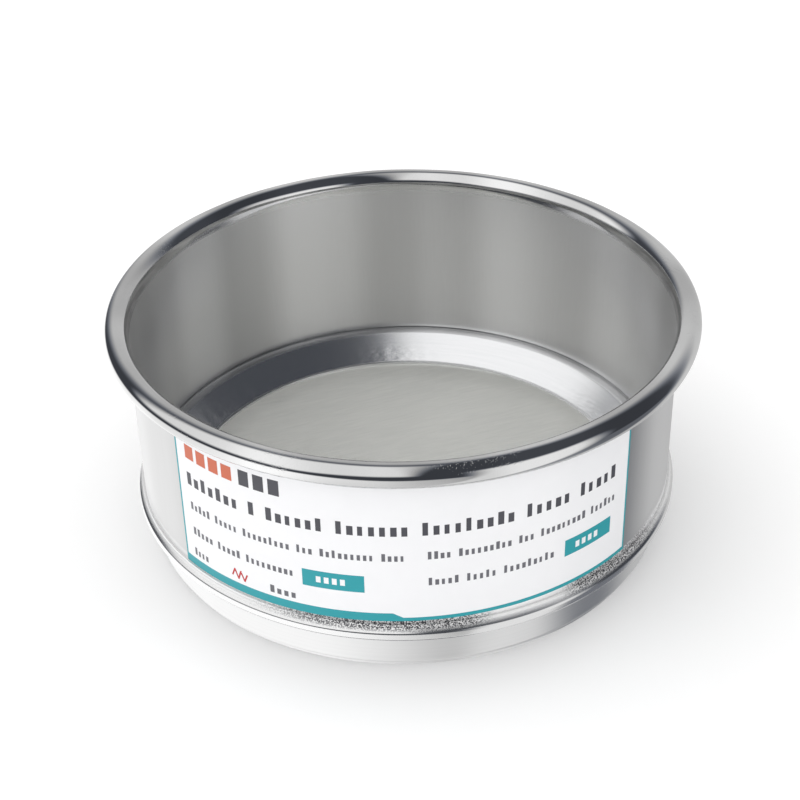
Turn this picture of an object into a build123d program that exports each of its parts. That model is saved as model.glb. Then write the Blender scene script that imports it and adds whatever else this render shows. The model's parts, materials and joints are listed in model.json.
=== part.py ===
from build123d import *
import os
from math import cos, degrees, radians, sin, tan

# Laboratory soil sieve of 100 mm nominal bore, stamped from thin stainless sheet.
# Millimetres, +Z up, origin at the centre of the skirt's lower edge.
#
# The wall's foot turns out into the bead of the skirt frame, whose collar is pressed
# on round the wall. Inside the bead the foot holds down the clamp ring and the woven
# wire cloth that the ring's cone stretches.
# Every metal piece is a ring: one section, bent from one thickness, revolved about Z.

# ---- Driving dimensions --------------------------------------------------------

rim_d = 110.0           # outside of the rolled rim, the widest part
overall_height = 46.2   # skirt's lower edge to the top of the rim
sheet = 0.4             # sheet that all three stampings are made from

curl_d = 4.4            # outside of the rolled rim's tube
curl_sweep = 312.0      # how far the sheet is rolled round, degrees

lip_z = 7.8             # underside of the bead, which rests on the rim of a sieve below
bead_proud = 1.2        # bead's outside, beyond the wall's outside
bead_height = 1.8       # underside of the bead to its sloping shoulder
shoulder_rise = 1.0     # height of the shoulder, from bead to collar
collar_height = 0.5     # collar that grips the wall above the shoulder
bead_bend = 0.8         # outside bend radii of the bead
collar_bend = 0.4       # outside bend radius from shoulder to collar
foot_bend = 0.6         # bend radius of the wall's foot, on the bowl side

nest_gap = 1.0          # skirt's outside to the bore of a sieve below, on radius
skirt_bend = 0.5        # outside bend radius from skirt to bead
draw_in = 0.65          # how far the skirt's edge is drawn in, on radius
edge_height = 0.4       # straight edge below the drawn-in step
step_rise = 0.8         # height of that step
step_bend = 0.5         # outside bend radii of that step

wire_d = 0.07           # wire of the cloth, woven at a pitch of 0.192
cloth_z = 3.8           # underside of the stretched cloth
cone_inset = 0.63       # skirt's outside to the upper corner of the cone, on radius
cone_angle = 40.0       # slope of the clamp ring, degrees above level
knee_bend = 0.9         # cloth's bend under the upper corner of the cone
ring_land = 0.6         # level edge of the clamp ring that bears on the cloth
land_bend = 0.6         # top bend radius from cone to land

label_arc = 89.0        # label's width, measured round the wall
label_film = 0.1        # label's thickness
label_turn = -1.0       # centre of the label round from the front, degrees
label_tilt = 0.8        # the label was stuck on slightly askew, degrees
label_margin = 0.7      # bare wall above and below the label at its middle

# ---- Clearances ----------------------------------------------------------------

flange_gap = 0.1        # edges of foot, ring and cloth to the inside of the bead

# ---- Sizes that follow ---------------------------------------------------------

curl_r = curl_d / 2
curl_centre_r = rim_d / 2 - curl_r
curl_z = overall_height - curl_r
bore_r = rim_d / 2 - curl_d
wall_r = bore_r + sheet
collar_r = wall_r + sheet
bead_r = wall_r + bead_proud
skirt_r = bore_r - nest_gap

seat_z = lip_z + sheet                      # the cloth lies on the bead's floor
cloth = 2 * wire_d                          # two wires thick at each crossing
foot_z = seat_z + cloth + sheet             # the wall's foot lies on the clamp ring
shoulder_z = lip_z + bead_height
collar_z = shoulder_z + shoulder_rise
collar_top_z = collar_z + collar_height
foot_r = bead_r - sheet - flange_gap
flange_r = bead_r - bead_bend - flange_gap

half_cone = tan(radians(cone_angle / 2))
knee_r = skirt_r - cone_inset
land_r = knee_r - (seat_z - cloth_z) / tan(radians(cone_angle))
floor_bend = land_bend + sheet + cloth      # cloth's bend under the ring's land


def cone_corners(height):
    """Two corners of the cone's section, height above the cloth's underside.

    Lines at different heights stay parallel, so cloth and ring meet face to face.
    """
    inset = height * half_cone
    return (land_r - inset, cloth_z + height), (knee_r - inset, seat_z + height)


# ---- Bowl frame: foot, wall and rolled rim -------------------------------------

with BuildPart() as bowl_frame:
    with BuildSketch(Plane.XZ):
        with BuildLine():
            FilletPolyline(
                (foot_r, foot_z),
                (bore_r, foot_z),
                (bore_r, curl_z),
                radius=foot_bend,
            )
            offset(amount=sheet, side=Side.RIGHT)
        make_face()
        with BuildLine():
            CenterArc((curl_centre_r, curl_z), curl_r, 180, -curl_sweep)
            offset(amount=sheet, side=Side.RIGHT)
        make_face()
    revolve(axis=Axis.Z)
bowl_frame.part.label = "bowl_frame"

# ---- Skirt frame: nesting skirt, bead, shoulder and collar ---------------------

with BuildPart() as skirt_frame:
    with BuildSketch(Plane.XZ):
        with BuildLine():
            FilletPolyline(
                (skirt_r - draw_in, 0),
                (skirt_r - draw_in, edge_height),
                (skirt_r, edge_height + step_rise),
                (skirt_r, lip_z),
                (bead_r, lip_z),
                (bead_r, shoulder_z),
                (collar_r, collar_z),
                (collar_r, collar_top_z),
                radius=[step_bend, step_bend, skirt_bend, bead_bend, bead_bend, collar_bend],
            )
            offset(amount=sheet, side=Side.LEFT)
        make_face()
    revolve(axis=Axis.Z)
skirt_frame.part.label = "skirt_frame"

# ---- Wire cloth: a closed sheet in place of the woven wires --------------------

with BuildPart() as wire_cloth:
    with BuildSketch(Plane.XZ):
        with BuildLine():
            FilletPolyline(
                (0, cloth_z),
                *cone_corners(0),
                (flange_r, seat_z),
                radius=[floor_bend, knee_bend],
            )
            offset(amount=cloth, side=Side.LEFT)
        make_face()
    revolve(axis=Axis.Z)
wire_cloth.part.label = "wire_cloth"

# ---- Clamp ring: land, cone and flange -----------------------------------------

with BuildPart() as clamp_ring:
    land_corner, knee_corner = cone_corners(cloth)
    with BuildSketch(Plane.XZ):
        with BuildLine():
            FilletPolyline(
                (land_corner[0] - ring_land, land_corner[1]),
                land_corner,
                knee_corner,
                (flange_r, seat_z + cloth),
                radius=[floor_bend - cloth, knee_bend + cloth],
            )
            offset(amount=sheet, side=Side.LEFT)
        make_face()
    revolve(axis=Axis.Z)
clamp_ring.part.label = "clamp_ring"

# ---- Label: adhesive film round the front of the wall --------------------------

label_half = degrees(label_arc / wall_r) / 2
label_bottom = collar_top_z + label_margin
label_top = curl_z - curl_r - label_margin
label_normal = (-sin(radians(label_tilt)), 0, cos(radians(label_tilt)))

with BuildPart() as wall_label:
    with BuildSketch(Plane.XY):
        with BuildLine():
            front = 270 + label_turn
            CenterArc((0, 0), wall_r, front - label_half, 2 * label_half)
            offset(amount=label_film, side=Side.RIGHT)
        make_face()
    extrude(amount=overall_height)
    split(bisect_by=Plane((0, 0, label_bottom), z_dir=label_normal), keep=Keep.TOP)
    split(bisect_by=Plane((0, 0, label_top), z_dir=label_normal), keep=Keep.BOTTOM)
wall_label.part.label = "wall_label"

# ---- Export --------------------------------------------------------------------

os.makedirs("parts", exist_ok=True)
export_step(bowl_frame.part, "parts/bowl_frame.step")
export_step(skirt_frame.part, "parts/skirt_frame.step")
export_step(wire_cloth.part, "parts/wire_cloth.step")
export_step(clamp_ring.part, "parts/clamp_ring.step")
export_step(wall_label.part, "parts/wall_label.step")
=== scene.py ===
import json
from math import atan2, cos, pi, radians, sin, sqrt, tan

import bpy
import numpy as np
from mathutils import Matrix, Vector


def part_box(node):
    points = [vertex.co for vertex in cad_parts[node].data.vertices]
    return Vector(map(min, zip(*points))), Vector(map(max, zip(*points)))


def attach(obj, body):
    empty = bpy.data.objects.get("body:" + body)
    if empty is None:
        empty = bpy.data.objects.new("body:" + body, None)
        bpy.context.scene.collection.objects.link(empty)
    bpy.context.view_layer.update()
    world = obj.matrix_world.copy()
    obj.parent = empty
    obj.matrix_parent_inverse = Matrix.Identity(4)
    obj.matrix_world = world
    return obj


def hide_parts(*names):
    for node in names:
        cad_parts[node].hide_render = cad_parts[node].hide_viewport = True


# Laboratory soil sieve: rolled rim, plain wall, stacking bead, nesting skirt, conical
# clamp ring, woven wire cloth and a printed label, on a white studio floor.

MM = 0.001

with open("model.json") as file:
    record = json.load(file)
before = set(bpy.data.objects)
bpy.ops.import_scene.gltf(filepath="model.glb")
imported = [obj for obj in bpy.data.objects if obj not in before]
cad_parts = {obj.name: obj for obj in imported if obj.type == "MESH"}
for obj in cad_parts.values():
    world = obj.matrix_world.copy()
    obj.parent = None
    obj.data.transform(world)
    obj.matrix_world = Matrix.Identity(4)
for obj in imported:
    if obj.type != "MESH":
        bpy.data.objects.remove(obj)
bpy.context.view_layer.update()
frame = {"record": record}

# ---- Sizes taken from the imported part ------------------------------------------

mounts = {m["name"]: m for m in frame["record"]["mounts"]}
bowl_low, bowl_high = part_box("bowl_frame")
_, skirt_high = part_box("skirt_frame")
cloth_low, cloth_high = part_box("wire_cloth")
_, ring_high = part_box("clamp_ring")

wire_d = 0.07 * MM
wire_pitch = 0.192 * MM
weave_turn = 20.0        # the warp's direction, degrees from +X
wire_sides = 5           # flats round each wire
wire_inset = 0.2 * MM    # ends of the wires inside the ring's flange

bore_r = mounts["top_bore"]["dims"]["r_mm"] * MM
skirt_r = mounts["skirt_pin"]["dims"]["r_mm"] * MM
sheet = ring_high.z - cloth_high.z
wall_r = bore_r + sheet
rim_top = bowl_high.z
curl_r = (bowl_high.x - bore_r) / 2
curl_centre_r = bore_r + curl_r
curl_z = rim_top - curl_r
foot_z = bowl_low.z
cloth = 2 * wire_d
cloth_z = cloth_low.z
seat_z = cloth_high.z - cloth
lip_z = seat_z - sheet
flange_r = ring_high.x
bead_r = skirt_high.x
collar_r = wall_r + sheet
collar_top_z = skirt_high.z

# ---- Bends and slopes of the stampings ------------------------------------------

curl_sweep = 312.0       # how far the rim is rolled round, degrees
foot_gap = 0.1 * MM      # edge of the wall's foot to the inside of the bead
bead_height = 1.8 * MM
shoulder_rise = 1.0 * MM
bead_bend = 0.8 * MM
collar_bend = 0.4 * MM
foot_bend = 0.6 * MM
skirt_bend = 0.5 * MM
draw_in = 0.65 * MM
edge_height = 0.4 * MM
step_rise = 0.8 * MM
step_bend = 0.5 * MM
seam_rise = 0.45 * MM    # the seam above the bead's underside
land_bend = 0.6 * MM
ring_land = 0.6 * MM
cone_inset = 0.63 * MM
knee_bend = 0.9 * MM
cone_angle = 40.0        # degrees above level

shoulder_z = lip_z + bead_height
collar_z = shoulder_z + shoulder_rise
seam_z = lip_z + seam_rise
half_cone = tan(radians(cone_angle / 2))
knee_r = skirt_r - cone_inset
land_r = knee_r - (seat_z - cloth_z) / tan(radians(cone_angle))
floor_bend = land_bend + sheet + cloth

# ---- Workmanship: how uneven the stampings are -------------------------------------

flute_depth = 0.010 * MM     # waves in the wall
rim_wave = 0.02 * MM         # waves in the height of the rim
edge_wave = 0.03 * MM        # waves in the skirt's trimmed edge
dent_depth = 0.018 * MM      # ripples in the lower part of the cone
seam_depth = 0.14 * MM       # fine seam round the lower part of the bead
seam_half = 0.09 * MM
lobe_turn = 25.0             # middle of one of the wall's eight lobes of painted sheen, lighter bands that stand in for reflected softboxes, degrees from +Y
smooth_turn = 24.0           # middle of the smooth gap in the orange peel and its painted dark reflection, degrees from the front

# ---- Label -----------------------------------------------------------------------

label_turn = -1.0        # middle of the label, degrees round from the front
label_tilt = 0.8         # askew by this much, degrees
label_film = 0.1 * MM
label_half = 50.0        # half its width, degrees round the wall
label_margin = 0.7 * MM
label_bottom = collar_top_z + label_margin
label_top = curl_z - curl_r - label_margin
ink_film = 0.02 * MM


# ---- Sections: a bent sheet as a closed loop of (radius, height) points -----------

def bend(corners, radii, step, arc_points=9):
    """Points along a polyline with rounded corners, and the left normal at each."""
    pts, nrm = [], []

    def straight(a, b):
        d = np.array(b) - np.array(a)
        length = np.hypot(*d)
        n = np.array([-d[1], d[0]]) / length
        for t in np.linspace(0, 1, max(2, int(length / step) + 1)):
            pts.append(np.array(a) + d * t)
            nrm.append(n)

    start = np.array(corners[0])
    for before, corner, after, r in zip(corners, corners[1:], corners[2:], radii):
        u = np.array(before) - np.array(corner)
        v = np.array(after) - np.array(corner)
        u, v = u / np.hypot(*u), v / np.hypot(*v)
        half = np.arccos(np.clip(u @ v, -1, 1)) / 2
        reach = r / tan(half)
        a, b = np.array(corner) + u * reach, np.array(corner) + v * reach
        centre = np.array(corner) + (u + v) / np.hypot(*(u + v)) * r / sin(half)
        straight(start, a)
        t0 = atan2(*(a - centre)[::-1])
        turn = (atan2(*(b - centre)[::-1]) - t0 + pi) % (2 * pi) - pi
        for t in np.linspace(0, 1, arc_points)[1:-1]:
            e = np.array([cos(t0 + turn * t), sin(t0 + turn * t)])
            pts.append(centre + e * r)
            nrm.append(-e if turn > 0 else e)
        start = b
    straight(start, corners[-1])
    return np.array(pts), np.array(nrm)


def sheet_loop(pts, nrm, thickness):
    """Closed section of a sheet that lies on the line, thickness out to its left."""
    return np.vstack([pts, (pts + nrm * thickness)[::-1]])


def cone_corners(height):
    """The cone's two corners, height above the cloth's underside."""
    inset = height * half_cone
    return (land_r - inset, cloth_z + height), (knee_r - inset, seat_z + height)


# ---- Meshes ------------------------------------------------------------------------

def add_mesh(name, verts, faces, uv, material, body="root"):
    mesh = bpy.data.meshes.new(name)
    mesh.from_pydata(verts, [], faces)
    layer = mesh.uv_layers.new(name="UVMap")
    layer.data.foreach_set("uv", np.asarray(uv, np.float32).ravel())
    mesh.polygons.foreach_set("use_smooth", [True] * len(mesh.polygons))
    mesh.set_sharp_from_angle(angle=radians(40))
    mesh.materials.append(material)
    mesh.update()
    obj = bpy.data.objects.new(name, mesh)
    bpy.context.scene.collection.objects.link(obj)
    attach(obj, body)
    return obj


def lathe(name, loop, turns, shape, material):
    """Ring swept round Z from a closed section. shape moves its points a little."""
    n = len(loop)
    ang = np.arange(turns) * 2 * pi / turns
    r, a = np.meshgrid(loop[:, 0], ang)
    z = np.broadcast_to(loop[:, 1], r.shape)
    r, z = shape(r, z, a)
    verts = np.stack([r * np.sin(a), -r * np.cos(a), z], -1).reshape(-1, 3)
    run = np.concatenate([[0], np.cumsum(np.hypot(*(np.roll(loop, -1, 0) - loop).T))])
    v = run / (2 * pi * loop[:, 0].max())
    i, j = np.meshgrid(np.arange(turns), np.arange(n), indexing="ij")
    i1, j1 = (i + 1) % turns, (j + 1) % n
    faces = np.stack([i * n + j, i * n + j1, i1 * n + j1, i1 * n + j], -1)
    signed = np.sum(loop[:, 0] * np.roll(loop[:, 1], -1) - np.roll(loop[:, 0], -1) * loop[:, 1])
    u0, u1, v0, v1 = i / turns, (i + 1) / turns, v[j], v[j + 1]
    uv = np.stack([u0, v0, u0, v1, u1, v1, u1, v0], -1).reshape(-1, 4, 2)
    faces = faces.reshape(-1, 4)
    if signed > 0:
        faces, uv = faces[:, ::-1], uv[:, ::-1]
    return add_mesh(name, verts.tolist(), faces.tolist(), uv, material)


def ripple(a, z, counts, seed):
    """Smooth uneven waves round the ring, about -1 to 1."""
    rng = np.random.default_rng(seed)
    total = np.zeros_like(a)
    for k in counts:
        total += np.sin(k * a + rng.uniform(0, 2 * pi) + rng.uniform(-1, 1) * z / (12 * MM))
    return total / sqrt(len(counts))


def bump_between(x, low, high, soft):
    """1 between low and high, fading out over soft."""
    return np.clip((x - low) / soft + 0.5, 0, 1) * np.clip((high - x) / soft + 0.5, 0, 1)


# ---- Node helpers -------------------------------------------------------------------

class Shader:
    """Builds a material's nodes with short calls."""

    def __init__(self, tree):
        self.tree = tree
        self.tree.nodes.clear()

    def node(self, kind, settings=None, **inputs):
        n = self.tree.nodes.new(kind)
        for key, value in (settings or {}).items():
            setattr(n, key, value)
        for key, value in inputs.items():
            self.feed(n.inputs[key.replace("_", " ")], value)
        return n

    def feed(self, socket, value):
        if isinstance(value, bpy.types.NodeSocket):
            self.tree.links.new(value, socket)
        else:
            socket.default_value = value

    def math(self, op, a, b=0.0, c=0.0):
        n = self.tree.nodes.new("ShaderNodeMath")
        n.operation = op
        for socket, value in zip(n.inputs, (a, b, c)):
            self.feed(socket, value)
        return n.outputs[0]

    def ramp(self, value, low, high, out_low=0.0, out_high=1.0):
        """Smooth step of value from out_low at low to out_high at high."""
        n = self.tree.nodes.new("ShaderNodeMapRange")
        n.interpolation_type = "SMOOTHSTEP"
        flip = low > high
        if flip:
            low, high, out_low, out_high = high, low, out_high, out_low
        for socket, v in zip(n.inputs, (value, low, high, out_low, out_high)):
            self.feed(socket, v)
        return n.outputs[0]

    def mix(self, factor, a, b):
        n = self.tree.nodes.new("ShaderNodeMix")
        n.data_type = "RGBA"
        self.feed(n.inputs["Factor"], factor)
        self.feed(n.inputs[6], a)
        self.feed(n.inputs[7], b)
        return n.outputs[2]

    def noise(self, vector, scale, detail=2.0, rough=0.5):
        n = self.node("ShaderNodeTexNoise", Scale=scale, Detail=detail, Roughness=rough)
        self.feed(n.inputs["Vector"], vector)
        return n.outputs["Fac"]

    def point(self):
        """Object-space position, metres."""
        return self.node("ShaderNodeTexCoord").outputs["Object"]

    def place(self):
        """Object-space position, its parts and its distance from the axis, metres."""
        point = self.point()
        x, y, z = self.node("ShaderNodeSeparateXYZ", Vector=point).outputs
        r = self.math("SQRT", self.math("ADD", self.math("MULTIPLY", x, x),
                                        self.math("MULTIPLY", y, y)))
        return point, x, y, z, r


def material(name):
    m = bpy.data.materials.new(name)
    m.use_nodes = True
    return m, Shader(m.node_tree)


def principled(s, height=None, depth=0.0, **inputs):
    """Principled surface, with a bump of the given depth where height is given."""
    surface = s.node("ShaderNodeBsdfPrincipled", **inputs)
    if height is not None:
        b = s.node("ShaderNodeBump", Strength=1.0, Distance=depth, Height=height)
        s.feed(surface.inputs["Normal"], b.outputs[0])
    out = s.node("ShaderNodeOutputMaterial")
    s.feed(out.inputs["Surface"], surface.outputs[0])


# ---- Materials -----------------------------------------------------------------------

def peel_relief_and_reflection(s, point, x, y):
    """Dots of the pressed steel's orange peel, to be painted dark as painted reflection, and how strong
    they are round the front of the ring.
    """
    front = s.math("DEGREES", s.math("ARCTAN2", x, s.math("MULTIPLY", y, -1.0)))
    smooth = s.math("ABSOLUTE", s.math("SUBTRACT", front, smooth_turn))
    strong = s.math("MULTIPLY", s.ramp(front, -38.0, -14.0), s.ramp(front, 72.0, 48.0))
    strong = s.math("MULTIPLY", strong, s.ramp(smooth, 6.0, 13.0))
    return s.ramp(s.noise(point, 3800.0, 2.0), 0.45, 0.55), strong


def bowl_steel():
    """Polished rim with a few pits, over a satin wall with broad lobes of painted sheen and a peeled
    neck that is made lighter as painted sheen, its dots painted dark as painted reflection.
    """
    m, s = material("bowl_steel")
    point, x, y, z, r = s.place()
    turn = s.math("ARCTAN2", x, y)
    lobes = s.math("COSINE", s.math("MULTIPLY", s.math("SUBTRACT", turn, radians(lobe_turn)), 8.0))
    on_rim = s.math("MAXIMUM", s.ramp(z, curl_z - 1.8 * MM, curl_z - 0.6 * MM),
                    s.ramp(r, wall_r + 0.2 * MM, wall_r + 0.6 * MM))
    inside = s.ramp(r, bore_r + 0.3 * MM, bore_r + 0.1 * MM)
    streak = s.node("ShaderNodeMapping", Scale=(1.0, 1.0, 0.05), Vector=point)
    fine = s.noise(streak.outputs[0], 2400.0, 3.0, 0.6)
    bands = s.noise(streak.outputs[0], 55.0, 1.0)
    broad = s.noise(point, 90.0, 2.0)
    pitted = s.ramp(s.noise(point, 70.0, 1.0), 0.62, 0.70)
    pits = s.math("MULTIPLY", s.ramp(s.noise(point, 2600.0, 2.0), 0.56, 0.66), pitted)
    off_rim = s.math("SUBTRACT", 1.0, on_rim)
    rough = s.math("ADD", s.math("MULTIPLY", off_rim, 0.255), 0.05)
    rough = s.math("ADD", rough, s.math("MULTIPLY", s.math("SUBTRACT", bands, 0.5), 0.10))
    height = s.math("ADD", s.math("MULTIPLY", s.math("MULTIPLY", fine, off_rim), 0.012),
                    s.math("MULTIPLY", broad, 0.10))
    height = s.math("SUBTRACT", height, s.math("MULTIPLY", pits, 0.14))
    neck = s.math("MULTIPLY", s.ramp(z, label_bottom + 1.0 * MM, label_bottom + 0.4 * MM),
                  s.math("SUBTRACT", 1.0, inside))
    dots, strong = peel_relief_and_reflection(s, point, x, y)
    satin = s.math("ADD", s.math("MULTIPLY", s.math("MULTIPLY", inside, off_rim), 0.24),
                   s.math("MULTIPLY", neck, 0.75))
    # Painted sheen: the eight lobes lighten the wall's grey in bands that stand in for reflected
    # softboxes; the stretched bands and fine streaks are random tone.
    tone = s.math("ADD", s.math("MULTIPLY", lobes, 0.14), s.math("MULTIPLY", bands, 0.9))
    tone = s.math("ADD", tone, s.math("MULTIPLY", s.math("SUBTRACT", fine, 0.5), 0.06))
    grey_and_sheen = s.ramp(tone, 0.25, 0.75, 0.57, 0.80)
    # Painted sheen: the neck under the label is made lighter.
    grey_and_sheen = s.math("ADD", grey_and_sheen, s.math("MULTIPLY", neck, 0.12))
    base = s.node("ShaderNodeCombineColor", Red=grey_and_sheen, Green=grey_and_sheen, Blue=grey_and_sheen).outputs[0]
    # Painted reflection: the peel's dots on the neck are painted nearly black.
    base = s.mix(s.math("MULTIPLY", s.math("MULTIPLY", dots, strong), neck), base, (0.05, 0.05, 0.06, 1))
    principled(s, height, 0.06 * MM, Base_Color=base, Metallic=s.math("SUBTRACT", 1.0, satin),
               Roughness=rough)
    return m


def skirt_steel():
    """Skirt and bead with turning marks, and orange peel on the shoulder and collar, bumped in and
    painted dark as painted reflection.
    """
    m, s = material("skirt_steel")
    point, x, y, z, r = s.place()
    along = s.node("ShaderNodeCombineXYZ", X=s.math("MULTIPLY", z, 6.0), Y=r, Z=0.0).outputs[0]
    lines = s.noise(along, 900.0, 3.0)
    broad = s.noise(point, 120.0, 2.0)
    dots, strong = peel_relief_and_reflection(s, point, x, y)
    pressed = s.ramp(z, shoulder_z + 0.2 * MM, shoulder_z + 0.9 * MM)
    peel = s.math("MULTIPLY", s.math("MULTIPLY", dots, strong), pressed)
    satin = s.ramp(z, lip_z + 0.4 * MM, lip_z)
    rough = s.math("ADD", s.math("MULTIPLY", satin, 0.14), 0.16)
    rough = s.math("ADD", rough, s.math("MULTIPLY", s.math("SUBTRACT", broad, 0.5), 0.08))
    height = s.math("ADD", s.math("MULTIPLY", lines, 0.03), s.math("MULTIPLY", broad, 0.05))
    height = s.math("SUBTRACT", height, s.math("MULTIPLY", peel, 0.5))
    base = s.mix(lines, (0.75, 0.75, 0.75, 1), (0.82, 0.82, 0.82, 1))
    # Painted reflection: the peel's dots are painted nearly black; the bump above is their real relief.
    base = s.mix(peel, base, (0.05, 0.05, 0.06, 1))
    metal = s.math("SUBTRACT", 1.0, s.math("MULTIPLY", pressed, 0.70))
    principled(s, height, 0.06 * MM, Base_Color=base, Metallic=metal, Roughness=rough)
    return m


def ring_steel():
    """Bright clamp ring, dented in fine rows where it was pressed down on the cloth."""
    m, s = material("ring_steel")
    _, x, y, z, r = s.place()
    turn = s.math("ARCTAN2", x, y)
    round_it = s.node("ShaderNodeCombineXYZ", X=s.math("MULTIPLY", turn, 0.016), Y=r, Z=z).outputs[0]
    drawn_out = s.node("ShaderNodeCombineXYZ", X=s.math("MULTIPLY", turn, 0.0015), Y=r, Z=z).outputs[0]
    low = s.ramp(r, land_r + 3.6 * MM, land_r + 0.8 * MM)
    dents = s.noise(round_it, 1500.0, 2.0)
    marks = s.noise(round_it, 5200.0, 2.0)
    scored = s.noise(drawn_out, 2600.0, 3.0)
    rough = s.math("ADD", 0.19, s.math("MULTIPLY", marks, 0.08))
    height = s.math("MULTIPLY", s.math("MULTIPLY", dents, low), 0.95)
    height = s.math("ADD", height, s.math("MULTIPLY", s.math("MULTIPLY", marks, low), 0.22))
    height = s.math("ADD", height, s.math("MULTIPLY", scored, 0.05))
    base = s.mix(scored, (0.76, 0.77, 0.78, 1), (0.84, 0.84, 0.85, 1))
    principled(s, height, 0.05 * MM, Base_Color=base, Metallic=1.0, Roughness=rough)
    return m


def wire_steel():
    """Drawn wire, duller and warmer than the sheet, with streaks along the warp."""
    m, s = material("wire_steel")
    point = s.point()
    turned = s.node("ShaderNodeMapping", {"vector_type": "TEXTURE"}, Vector=point,
                    Rotation=(0.0, 0.0, radians(weave_turn)), Scale=(18.0, 1.0, 1.0))
    streaks = s.noise(turned.outputs[0], 3000.0, 3.0, 0.6)
    patch = s.noise(point, 60.0, 2.0)
    drawn = s.noise(point, 9000.0, 2.0)
    tone = s.math("ADD", s.math("MULTIPLY", streaks, 0.75), s.math("MULTIPLY", patch, 0.25))
    base = s.mix(s.ramp(tone, 0.20, 0.80), (0.67, 0.68, 0.65, 1), (0.85, 0.85, 0.81, 1))
    rough = s.math("ADD", 0.36, s.math("MULTIPLY", drawn, 0.12))
    principled(s, drawn, 0.002 * MM, Base_Color=base, Metallic=0.2, Roughness=rough)
    return m


def film(name, colour, rough, coat):
    """Printed adhesive film: faint mottling, paper-like relief and a light gloss."""
    m, s = material(name)
    point = s.point()
    mottle = s.noise(point, 260.0, 3.0)
    tooth = s.noise(point, 4000.0, 2.0)
    dark = [c * 0.96 for c in colour] + [1]
    base = s.mix(mottle, dark, list(colour) + [1])
    wave = s.math("ADD", s.math("MULTIPLY", mottle, 0.6), s.math("MULTIPLY", tooth, 0.1))
    roughness = s.math("ADD", rough, s.math("MULTIPLY", tooth, 0.05))
    principled(s, wave, 0.02 * MM, Base_Color=base, Roughness=roughness,
               Coat_Weight=coat, Coat_Roughness=0.15)
    return m


# ---- Stampings ------------------------------------------------------------------------

# The wall's line runs up its inner face, so its sheet lies to the right.
path, left = bend([(bead_r - sheet - foot_gap, foot_z), (bore_r, foot_z), (bore_r, curl_z)],
                  [foot_bend], 1.1 * MM)
left = -left
sweep = np.radians(180 - np.linspace(0, curl_sweep, 49)[1:])
outward = np.stack([np.cos(sweep), np.sin(sweep)], -1)
path = np.vstack([path, np.array([curl_centre_r, curl_z]) + outward * curl_r])
left = np.vstack([left, -outward])


def bowl_shape(r, z, a):
    """Faint flutes in the wall and slight unevenness of the rim."""
    on_wall = bump_between(z, foot_z + 3 * MM, curl_z - 3 * MM, 4 * MM)
    on_rim = np.clip((z - curl_z + 2 * MM) / (3 * MM), 0, 1)
    r = r + flute_depth * ripple(a, z, (5, 9, 14, 21, 31), 3) * on_wall
    z = z + rim_wave * ripple(a, 0 * z, (7, 13, 22), 5) * on_rim
    return r, z


bowl = lathe("bowl_frame_shell", sheet_loop(path, left, sheet), 540, bowl_shape, bowl_steel())
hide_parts("bowl_frame")

path, left = bend([(skirt_r - draw_in, 0), (skirt_r - draw_in, edge_height),
                   (skirt_r, edge_height + step_rise), (skirt_r, lip_z), (bead_r, lip_z),
                   (bead_r, shoulder_z), (collar_r, collar_z), (collar_r, collar_top_z)],
                  [step_bend, step_bend, skirt_bend, bead_bend, bead_bend, collar_bend], 0.6 * MM, 17)


def skirt_shape(r, z, a):
    """Slight unevenness of the skirt's trimmed edge, and the fine seam round the bead."""
    near_edge = np.clip(1 - z / (3 * MM), 0, 1)
    seam = np.exp(-((z - seam_z) / seam_half) ** 2) * (r > bead_r - 0.3 * MM)
    return r + edge_wave * ripple(a, z, (4, 9, 15), 8) * near_edge - seam_depth * seam, z


skirt = lathe("skirt_frame_shell", sheet_loop(path, left, sheet), 384, skirt_shape, skirt_steel())
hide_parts("skirt_frame")

land_corner, knee_corner = cone_corners(cloth)
path, left = bend([(land_corner[0] - ring_land, land_corner[1]), land_corner, knee_corner,
                   (flange_r, seat_z + cloth)], [floor_bend - cloth, knee_bend + cloth], 0.35 * MM)


def ring_shape(r, z, a):
    """Shallow ripples in the lower part of the cone, deepest at the back left."""
    low = bump_between(r, land_r - 0.2 * MM, knee_r - 2.4 * MM, 1.4 * MM)
    side = 0.35 + 0.65 * np.clip(-np.sin(a - radians(20)), 0, 1)
    return r, z + dent_depth * ripple(a, z * 3, (38, 55, 71, 97), 11) * low * side


ring = lathe("clamp_ring_shell", sheet_loop(path, left, sheet), 720, ring_shape, ring_steel())
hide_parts("clamp_ring")


# ---- Wire cloth --------------------------------------------------------------------------

def drape(r):
    """Height of the stretched cloth's underside at each distance from the axis."""
    pts, _ = bend([(0, cloth_z), *cone_corners(0), (flange_r, seat_z)],
                  [floor_bend, knee_bend], 0.5 * MM)
    return np.interp(r, pts[:, 0], pts[:, 1])


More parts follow.
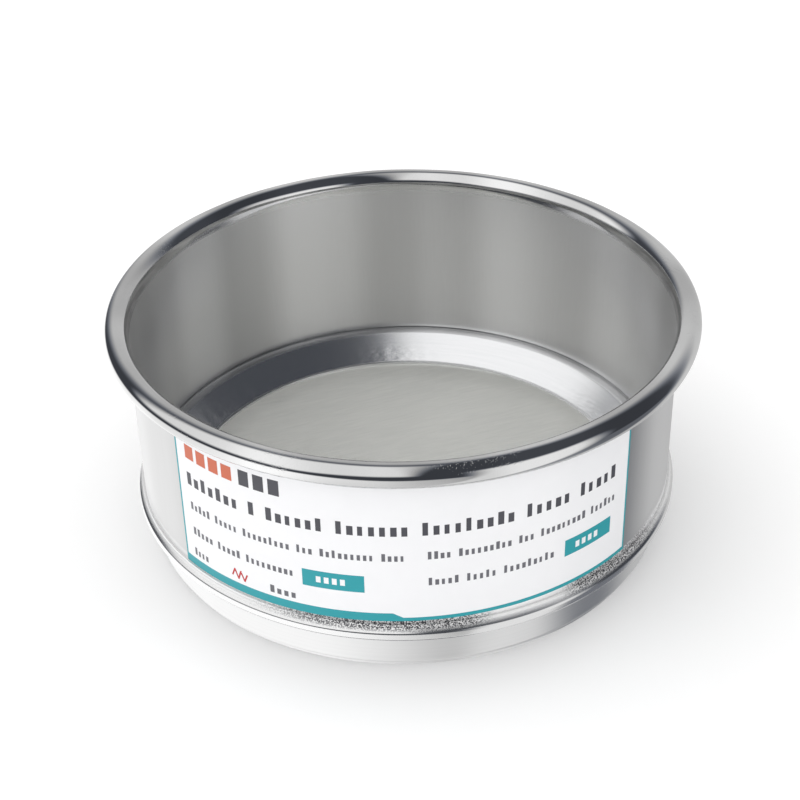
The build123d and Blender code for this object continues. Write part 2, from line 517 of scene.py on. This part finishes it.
def wires(name, turn, lift, material):
    """One layer of parallel wires, cut to the round and following the drape."""
    sides = wire_sides
    reach = flange_r - wire_inset
    count = int(reach / wire_pitch)
    along = np.array([cos(radians(turn)), sin(radians(turn))])
    across = np.array([-along[1], along[0]])
    verts, faces, uv = [], [], []
    for k in range(-count, count + 1):
        d = k * wire_pitch
        end = sqrt(reach ** 2 - d ** 2)
        marks = {-end, end}
        for ring_r in (knee_r + 0.4 * MM, knee_r - 0.4 * MM, land_r + 0.4 * MM, land_r - 0.4 * MM):
            if ring_r > abs(d):
                marks |= {-sqrt(ring_r ** 2 - d ** 2), sqrt(ring_r ** 2 - d ** 2)}
        marks = sorted(marks | set(np.linspace(-end, end, 9)[1:-1]))
        first = len(verts)
        for t in marks:
            x, y = along * t + across * d
            z = drape(np.hypot(x, y)) + lift
            for q in range(sides):
                w = 2 * pi * q / sides + pi / 2
                off = across * cos(w) * wire_d / 2
                verts.append((x + off[0], y + off[1], z + sin(w) * wire_d / 2))
        v = (k + count) / (2 * count + 1)
        for i in range(len(marks) - 1):
            u0, u1 = 0.5 + marks[i] / (2 * reach), 0.5 + marks[i + 1] / (2 * reach)
            for q in range(sides):
                a, b = first + i * sides + q, first + i * sides + (q + 1) % sides
                faces.append((a, b, b + sides, a + sides))
                uv += [(u0, v), (u0, v), (u1, v), (u1, v)]
        faces.append(tuple(first + q for q in reversed(range(sides))))
        last = first + (len(marks) - 1) * sides
        faces.append(tuple(last + q for q in range(sides)))
        uv += [(0.0, v)] * sides + [(1.0, v)] * sides
    return add_mesh(name, verts, faces, uv, material)


wire_material = wire_steel()
warp = wires("cloth_warp", weave_turn, wire_d / 2, wire_material)
weft = wires("cloth_weft", weave_turn + 90, wire_d * 1.5, wire_material)
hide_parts("wire_cloth")
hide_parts("wire_cloth")


# ---- Label: film and generic print ---------------------------------------------------------

def plates(name, quads, inner_r, thickness, material):
    """Thin plates lying on the wall, as one piece.

    Each is (low, high, left, right, left at the top, right at the top): heights in
    metres, places round the wall in degrees from the front.
    """
    verts, faces = [], []
    for low, high, left0, right0, left1, right1 in quads:
        cols = max(1, int((right0 - left0) / 1.2))
        first, n = len(verts), cols + 1
        for radius in (inner_r, inner_r + thickness):
            for z, a0, a1 in ((low, left0, right0), (high, left1, right1)):
                for a in np.radians(np.linspace(a0, a1, n)):
                    lift = radius * sin(a) * tan(radians(label_tilt))
                    verts.append((radius * sin(a), -radius * cos(a), z + lift))
        rows = [first + k * n for k in range(4)]
        for c in range(cols):
            b0, t0, b1, t1 = (k + c for k in rows)
            faces += [(b0, t0, t0 + 1, b0 + 1), (b1, b1 + 1, t1 + 1, t1),
                      (b0, b0 + 1, b1 + 1, b1), (t0, t1, t1 + 1, t0 + 1)]
        b0, t0, b1, t1 = rows
        faces.append((b0, b1, t1, t0))
        faces.append((b0 + cols, t0 + cols, t1 + cols, b1 + cols))
    uv = [(0.5 + atan2(verts[k][0], -verts[k][1]) / 2, verts[k][2] / rim_top) for f in faces for k in f]
    obj = add_mesh(name, verts, faces, uv, material)
    return obj


def block(low, height, left, width):
    """A plain upright block of print."""
    return low, low + height, left, left + width, left, left + width


paper = film("label_paper", (0.90, 0.90, 0.915), 0.42, 0.25)
ink = film("label_ink", (0.060, 0.060, 0.075), 0.45, 0.2)
soft_ink = film("label_soft_ink", (0.13, 0.13, 0.15), 0.45, 0.2)
teal = film("label_teal", (0.006, 0.33, 0.38), 0.42, 0.15)
orange = film("label_orange", (0.62, 0.13, 0.055), 0.42, 0.25)
red = film("label_red", (0.52, 0.012, 0.015), 0.40, 0.25)

label_left, label_right = label_turn - label_half, label_turn + label_half
on_label = wall_r + label_film
whole = block(label_bottom, label_top - label_bottom, label_left, 2 * label_half)
label = plates("label_sheet", [whole], wall_r, label_film, paper)
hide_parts("wall_label")

rng = np.random.default_rng(4)


def words(z, height, left, lengths, right):
    """A line of greeked print: one plain block for each letter, grouped as words."""
    pitch = (right - left) / (sum(lengths) + 0.9 * (len(lengths) - 1))
    blocks = []
    for count in lengths:
        for k in range(count):
            tall = 1.4 if k == 0 or rng.random() < 0.2 else 1.0
            blocks.append(block(z, height * tall, left, pitch * rng.uniform(0.42, 0.60)))
            left += pitch
        left += 0.9 * pitch
    return blocks


plates("print_heading", words(30.2 * MM, 1.9 * MM, -47.9, (7, 1, 6, 7, 9, 5, 5), 45.4),
       on_label, ink_film, ink)

lines = words(24.9 * MM, 1.15 * MM, -47.6, (5, 5, 9, 3, 9, 4), -0.3)
lines += words(25.1 * MM, 1.15 * MM, 3.6, (4, 9, 3, 9, 6), 45.3)
lines += words(19.3 * MM, 1.15 * MM, -47.6, (5, 5, 9), -22.2)
lines += words(19.5 * MM, 1.15 * MM, 3.7, (5, 5, 9), 29.7)
lines += words(14.5 * MM, 1.15 * MM, -47.9, (4,), -43.4)
lines += words(14.4 * MM, 1.15 * MM, -28.0, (4,), -21.8)
plates("print_lines", lines, on_label, ink_film, soft_ink)

plates("print_mark_left", [block(35.9 * MM, 2.9 * MM, a, 2.5) for a in (-47.8, -44.4, -41.0, -37.6)],
       on_label, ink_film, orange)
plates("print_mark_right", [block(35.8 * MM, 3.2 * MM, a, 2.3) for a in (-33.4, -30.1, -26.8)],
       on_label, ink_film, ink)

edge = 0.45                            # border at the label's sides, degrees
thin, thick = 0.75 * MM, 1.75 * MM     # border at its foot, to the right and to the left
left_box = block(17.95 * MM, 3.6 * MM, -20.8, 12.3)
right_box = block(18.45 * MM, 3.5 * MM, 31.8, 12.1)
border = [block(label_bottom, label_top - label_bottom, label_left, edge),
          block(label_bottom, label_top - label_bottom, label_right - edge, edge),
          block(label_bottom, thin, label_left + edge, 2 * (label_half - edge)),
          (label_bottom + thin, label_bottom + thick, label_left + edge, -1.2, label_left + edge, -3.2)]
plates("print_teal", border + [left_box, right_box], on_label, ink_film, teal)

figures = [block(19.1 * MM, 1.3 * MM, a, 0.95) for a in (-18.0, -16.4, -14.8, -13.2)]
figures += [block(19.5 * MM, 1.3 * MM, a, 0.95) for a in (34.4, 36.0, 37.6, 39.2)]
plates("print_box_figures", figures, on_label + ink_film, ink_film, paper)

stroke, swing = 0.4, 0.75              # width and sideways swing of the pen, degrees
scribble = []
for k, (low, high) in enumerate([(14.9, 16.6), (14.7, 16.4), (14.5, 16.5), (14.6, 16.2), (14.4, 16.1)]):
    foot = -37.3 + swing * (k + k % 2)
    top = foot + swing * (1 - 2 * (k % 2))
    scribble.append((low * MM, high * MM, foot, foot + stroke, top, top + stroke))
plates("print_pen_mark", scribble, on_label, ink_film, red)

# ---- Floor -----------------------------------------------------------------------------------

m, s = material("studio_floor")
principled(s, Base_Color=(0.96, 0.96, 0.96, 1), Roughness=0.9, Specular_IOR_Level=0.1,
           Emission_Color=(1.0, 1.0, 1.0, 1), Emission_Strength=0.10)
wide = 3.0
drop = 0.1 * MM      # the floor lies this far below the skirt's edge
mesh = bpy.data.meshes.new("floor")
corners = [(x * wide, y * wide, -drop) for x, y in ((-1, -1), (1, -1), (1, 1), (-1, 1))]
mesh.from_pydata(corners, [], [(0, 1, 2, 3)])
mesh.materials.append(m)
floor = bpy.data.objects.new("floor", mesh)
bpy.context.scene.collection.objects.link(floor)
floor.visible_glossy = False

# ---- Studio: softboxes as places on the sky -----------------------------------------------------

world = bpy.data.worlds.new("studio")
bpy.context.scene.world = world
world.use_nodes = True
s = Shader(world.node_tree)
direction = s.node("ShaderNodeTexCoord").outputs["Generated"]
dx, dy, dz = s.node("ShaderNodeSeparateXYZ", Vector=direction).outputs
elevation = s.math("DEGREES", s.math("ARCSINE", dz))
# 0 in front, 90 to the right
azimuth = s.math("DEGREES", s.math("ARCTAN2", dx, s.math("MULTIPLY", dy, -1.0)))
from_top = s.math("SUBTRACT", 90.0, elevation)
level = s.math("SQRT", s.math("ADD", s.math("MULTIPLY", dx, dx), s.math("MULTIPLY", dy, dy)))
level = s.math("MAXIMUM", level, 0.0001)
map_x = s.math("MULTIPLY", from_top, s.math("DIVIDE", dx, level))
map_y = s.math("MULTIPLY", from_top, s.math("DIVIDE", dy, level))


def product(*values):
    total = values[0]
    for v in values[1:]:
        total = s.math("MULTIPLY", total, v)
    return total


overhead = product(s.ramp(map_x, 7.0, -3.0), s.ramp(map_y, 32.0, 12.0),
                   s.ramp(map_y, -76.0, -60.0), s.ramp(from_top, 92.0, 74.0))
front_strip = product(s.ramp(azimuth, 18.0, 30.0), s.ramp(azimuth, 78.0, 60.0),
                      s.ramp(elevation, 32.0, 16.0))
far_wall = product(s.ramp(map_y, 22.0, 58.0), s.ramp(map_x, -62.0, -18.0))
below = s.ramp(elevation, -8.0, -20.0)
below_level = s.ramp(dx, -0.6, 0.84, 1.30, 0.20)

value = s.math("ADD", 0.07, s.math("MULTIPLY", overhead, 1.05))
value = s.math("ADD", value, s.math("MULTIPLY", far_wall, 0.58))
value = s.math("ADD", value, s.math("MULTIPLY", front_strip, 0.88))
value = s.math("MAXIMUM", value, s.math("MULTIPLY", below, below_level))

rays = s.node("ShaderNodeLightPath")
even = s.ramp(dx, 0.95, -0.95, 0.84, 1.44)
strength = s.node("ShaderNodeMix", {"data_type": "FLOAT"})
s.feed(strength.inputs["Factor"], rays.outputs["Is Diffuse Ray"])
s.feed(strength.inputs[2], value)
s.feed(strength.inputs[3], even)
seen = s.node("ShaderNodeMix", {"data_type": "FLOAT"})
s.feed(seen.inputs["Factor"], rays.outputs["Is Camera Ray"])
s.feed(seen.inputs[2], strength.outputs[0])
s.feed(seen.inputs[3], 1.0)
tint = s.mix(s.ramp(seen.outputs[0], 0.0, 0.6), (0.86, 0.93, 1.10, 1), (1.0, 1.0, 1.0, 1))
background = s.node("ShaderNodeBackground", Color=tint, Strength=seen.outputs[0])
out = s.node("ShaderNodeOutputWorld")
s.feed(out.inputs["Surface"], background.outputs[0])

# ---- Camera -----------------------------------------------------------------------------------------

camera_data = bpy.data.cameras.new("camera")
camera_data.lens = 74.58
camera_data.sensor_width = 36.0
camera_data.clip_start = 0.01
camera = bpy.data.objects.new("camera", camera_data)
bpy.context.scene.collection.objects.link(camera)
aim = Vector((-0.82 * MM, 0, rim_top / 2))
distance, tilt, roll = 319.6 * MM, radians(33.8), radians(-1.33)
back = Vector((0, -cos(tilt), sin(tilt)))
camera.matrix_world = (Matrix.Translation(aim + back * distance)
                       @ back.to_track_quat("Z", "Y").to_matrix().to_4x4()
                       @ Matrix.Rotation(roll, 4, "Z"))
bpy.context.scene.camera = camera
bpy.context.scene.view_settings.view_transform = "Standard"
